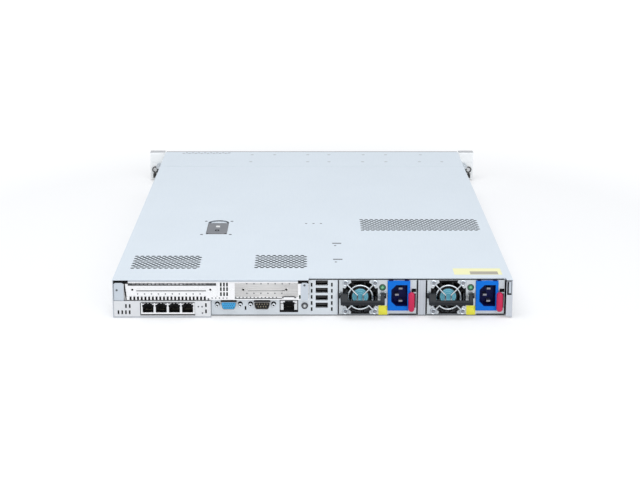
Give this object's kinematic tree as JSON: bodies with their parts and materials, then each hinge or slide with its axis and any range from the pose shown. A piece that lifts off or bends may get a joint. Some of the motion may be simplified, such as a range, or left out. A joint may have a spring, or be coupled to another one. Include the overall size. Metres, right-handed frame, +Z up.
{
  "type": "one-unit rack server",
  "caption": "Low wide rack server with a sliding vented top cover, rear connectors, expansion slots, twin pull-out power supplies and front drive bays.",
  "frame": {"origin": "bottom centre of the whole part's box, on the surface it stands on", "axes": "+Z up, +Y towards the rear connectors, +X towards the left side as seen from behind"},
  "size_m": [0.4826, 0.7105, 0.0429],
  "materials": {
    "cover_sheet": "satin pale silver",
    "zinc_sheet": "zinc plated sheet",
    "rear_sheet": "bright plated sheet",
    "bright_steel": "bright steel",
    "chrome_wire": "polished wire",
    "jack_shield": "tin plated shield",
    "inlet_blue": "moulded",
    "contact_metal": "nickel plated",
    "fan_plastic": "moulded",
    "handle_plastic": "moulded",
    "release_red": "moulded",
    "latch_grey": "moulded",
    "video_blue": "moulded",
    "black_plastic": "moulded",
    "board_green": "solder mask",
    "heat_sink": "extruded",
    "ear_plastic": "moulded",
    "carrier_grey": "moulded"
  },
  "bodies": {
    "chassis": {"air_baffle": "black_plastic", "chassis_tray": "zinc_sheet", "d_sub_shells": "bright_steel", "drive_backplane": "board_green", "drive_blanks": "carrier_grey", "drive_cage": "zinc_sheet", "ear_screws": "bright_steel", "fan_modules": "fan_plastic", "front_panel": "ear_plastic", "front_top_panel": "cover_sheet", "full_height_slot_cover": "bright_steel", "heatsinks": "heat_sink", "low_profile_slot_cover": "bright_steel", "management_jack": "jack_shield", "memory_modules": "board_green", "memory_sockets": "black_plastic", "network_card": "rear_sheet", "network_jacks": "jack_shield", "power_backplane": "board_green", "processors": "heat_sink", "psu_cage": "zinc_sheet", "rack_ears": "ear_plastic", "rail_studs": "bright_steel", "rear_panel": "rear_sheet", "riser_cage": "rear_sheet", "riser_card": "board_green", "serial_insert": "black_plastic", "system_board": "board_green", "usb_ports": "jack_shield", "video_insert": "video_blue"},
    "cover": {"access_cover": "cover_sheet", "cover_hooks": "zinc_sheet", "latch_housing": "zinc_sheet"},
    "latch": {"cover_latch": "latch_grey"},
    "psu_1": {"psu_1_case": "bright_steel", "psu_1_fan_guard": "chrome_wire", "psu_1_inlet": "inlet_blue", "psu_1_pins": "contact_metal"},
    "psu_1_fan": {"psu_1_rotor": "fan_plastic"},
    "psu_1_pull": {"psu_1_handle": "handle_plastic"},
    "psu_1_catch": {"psu_1_release": "release_red"},
    "psu_2": {"psu_2_case": "bright_steel", "psu_2_fan_guard": "chrome_wire", "psu_2_inlet": "inlet_blue", "psu_2_pins": "contact_metal"},
    "psu_2_fan": {"psu_2_rotor": "fan_plastic"},
    "psu_2_pull": {"psu_2_handle": "handle_plastic"},
    "psu_2_catch": {"psu_2_release": "release_red"},
    "rear_id_button": {"rear_id_button": "latch_grey"},
    "power_button": {"power_button": "latch_grey"},
    "left_ear_lever": {"left_ear_lever": "black_plastic"},
    "right_ear_lever": {"right_ear_lever": "black_plastic"},
    "drive_1": {"drive_1": "carrier_grey"},
    "drive_lever_1": {"drive_lever_1": "black_plastic"},
    "drive_2": {"drive_2": "carrier_grey"},
    "drive_lever_2": {"drive_lever_2": "black_plastic"},
    "drive_3": {"drive_3": "carrier_grey"},
    "drive_lever_3": {"drive_lever_3": "black_plastic"},
    "drive_4": {"drive_4": "carrier_grey"},
    "drive_lever_4": {"drive_lever_4": "black_plastic"}
  },
  "joints": [
    {"name": "cover_slide", "type": "slide", "parent": "chassis", "child": "cover", "axis": [0, 1, 0], "range_m": [0, 0.012]},
    {"name": "latch_lift", "type": "hinge", "parent": "cover", "child": "latch", "pos_m": [0.1154, 0.14675, 0.0402], "axis": [-1, 0, 0], "range_deg": [0, 80]},
    {"name": "psu_1_slide", "type": "slide", "parent": "chassis", "child": "psu_1", "axis": [0, 1, 0], "range_m": [0, 0.18]},
    {"name": "psu_1_fan_spin", "type": "hinge", "parent": "psu_1", "child": "psu_1_fan", "pos_m": [-0.0519, 0.32925, 0.0209], "axis": [0, 1, 0], "continuous": true},
    {"name": "psu_1_pull_swing", "type": "hinge", "parent": "psu_1", "child": "psu_1_pull", "pos_m": [-0.05425, 0.34475, 0.0234], "axis": [1, 0, 0], "range_deg": [0, 100]},
    {"name": "psu_1_catch_press", "type": "hinge", "parent": "psu_1", "child": "psu_1_catch", "pos_m": [-0.11, 0.32125, 0.017], "axis": [0, 0, -1], "range_deg": [0, 4.5], "stiffness_Nm_per_rad": 0.6},
    {"name": "psu_2_slide", "type": "slide", "parent": "chassis", "child": "psu_2", "axis": [0, 1, 0], "range_m": [0, 0.18]},
    {"name": "psu_2_fan_spin", "type": "hinge", "parent": "psu_2", "child": "psu_2_fan", "pos_m": [-0.148, 0.32925, 0.0209], "axis": [0, 1, 0], "continuous": true},
    {"name": "psu_2_pull_swing", "type": "hinge", "parent": "psu_2", "child": "psu_2_pull", "pos_m": [-0.15035, 0.34475, 0.0234], "axis": [1, 0, 0], "range_deg": [0, 100]},
    {"name": "psu_2_catch_press", "type": "hinge", "parent": "psu_2", "child": "psu_2_catch", "pos_m": [-0.2061, 0.32125, 0.017], "axis": [0, 0, -1], "range_deg": [0, 4.5], "stiffness_Nm_per_rad": 0.6},
    {"name": "rear_id_press", "type": "slide", "parent": "chassis", "child": "rear_id_button", "axis": [0, -1, 0], "range_m": [0, 0.001], "stiffness_N_per_m": 400},
    {"name": "power_press", "type": "slide", "parent": "chassis", "child": "power_button", "axis": [0, 1, 0], "range_m": [0, 0.0012], "stiffness_N_per_m": 400},
    {"name": "left_ear_swing", "type": "hinge", "parent": "chassis", "child": "left_ear_lever", "pos_m": [0.2363, -0.35225, 0.021], "axis": [0, 0, 1], "range_deg": [0, 20]},
    {"name": "right_ear_swing", "type": "hinge", "parent": "chassis", "child": "right_ear_lever", "pos_m": [-0.2363, -0.35225, 0.021], "axis": [0, 0, -1], "range_deg": [0, 20]},
    {"name": "drive_1_slide", "type": "slide", "parent": "chassis", "child": "drive_1", "axis": [0, -1, 0], "range_m": [0, 0.13]},
    {"name": "drive_lever_1_swing", "type": "hinge", "parent": "drive_1", "child": "drive_lever_1", "pos_m": [-0.1922, -0.34775, 0.031], "axis": [0, 0, -1], "range_deg": [0, 60]},
    {"name": "drive_2_slide", "type": "slide", "parent": "chassis", "child": "drive_2", "axis": [0, -1, 0], "range_m": [0, 0.13]},
    {"name": "drive_lever_2_swing", "type": "hinge", "parent": "drive_2", "child": "drive_lever_2", "pos_m": [-0.1922, -0.34775, 0.011], "axis": [0, 0, -1], "range_deg": [0, 60]},
    {"name": "drive_3_slide", "type": "slide", "parent": "chassis", "child": "drive_3", "axis": [0, -1, 0], "range_m": [0, 0.13]},
    {"name": "drive_lever_3_swing", "type": "hinge", "parent": "drive_3", "child": "drive_lever_3", "pos_m": [-0.1162, -0.34775, 0.031], "axis": [0, 0, -1], "range_deg": [0, 60]},
    {"name": "drive_4_slide", "type": "slide", "parent": "chassis", "child": "drive_4", "axis": [0, -1, 0], "range_m": [0, 0.13]},
    {"name": "drive_lever_4_swing", "type": "hinge", "parent": "drive_4", "child": "drive_lever_4", "pos_m": [-0.1162, -0.34775, 0.011], "axis": [0, 0, -1], "range_deg": [0, 60]}
  ],
  "couplings": [
    {"joint": "latch_lift", "follows": "cover_slide", "rad_per_m": 116.21}
  ]
}
